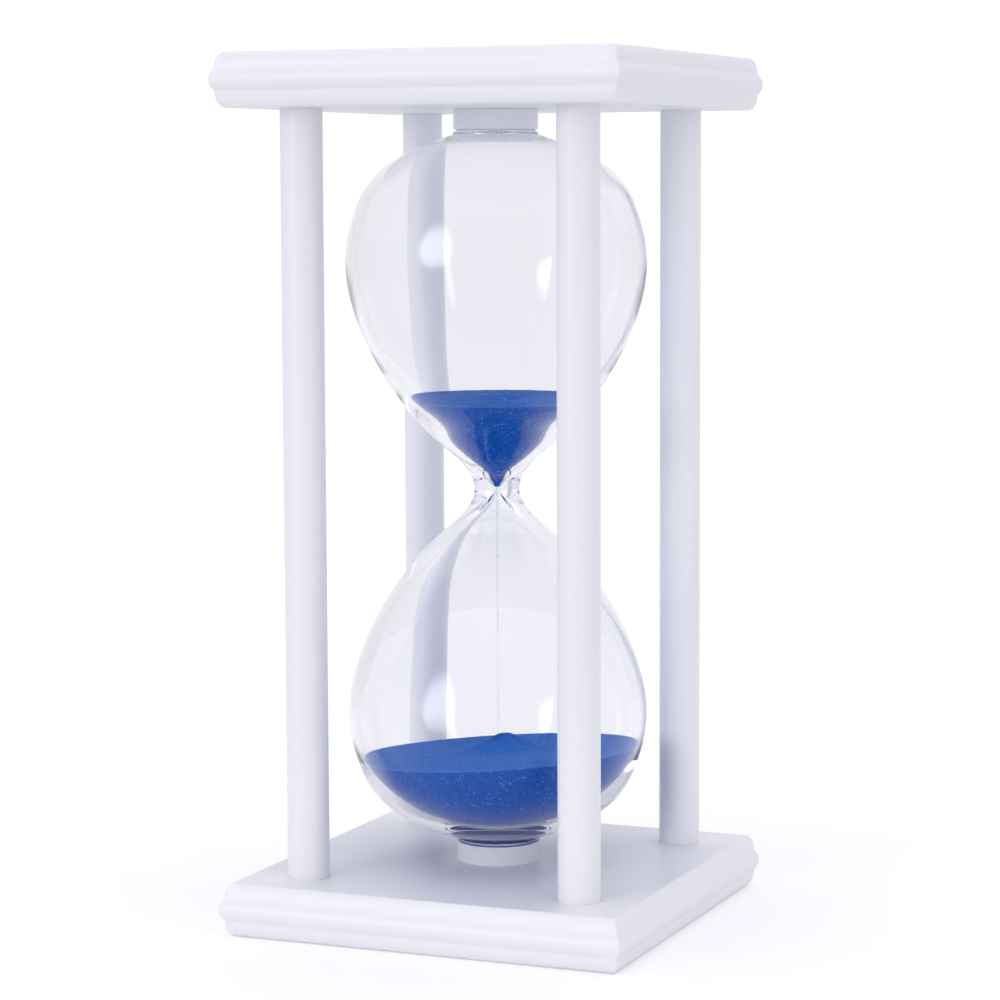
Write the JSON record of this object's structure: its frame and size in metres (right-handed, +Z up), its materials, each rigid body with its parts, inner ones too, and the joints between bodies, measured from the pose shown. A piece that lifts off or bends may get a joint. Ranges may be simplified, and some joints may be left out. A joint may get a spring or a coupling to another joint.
{
  "type": "hourglass",
  "caption": "Sixty-minute sand timer: a clear double-bulb glass with blue sand between two square moulded white plates on round posts.",
  "frame": {"origin": "middle of the underside of the base plate, on the surface it stands on", "axes": "+Z up along the posts and the axis of the glass, -Y is the front face, +X is to the right seen from the front"},
  "size_m": [0.122, 0.122, 0.25],
  "materials": {
    "white_paint": "smooth satin white paint on turned and moulded wood",
    "clear_glass": "clear polished blown glass",
    "blue_sand": "fine dyed quartz sand with a light sparkle",
    "soft_rubber": "soft translucent silicone"
  },
  "bodies": {
    "root": {"base_plate": "white_paint", "top_plate": "white_paint", "post_front_left": "white_paint", "post_front_right": "white_paint", "post_back_left": "white_paint", "post_back_right": "white_paint", "lower_seat": "white_paint", "upper_seat": "white_paint", "lower_washer": "soft_rubber", "upper_washer": "soft_rubber", "glass_vessel": "clear_glass", "fill_plug": "soft_rubber", "upper_sand": "blue_sand", "sand_stream": "blue_sand", "lower_sand": "blue_sand"}
  },
  "joints": []
}
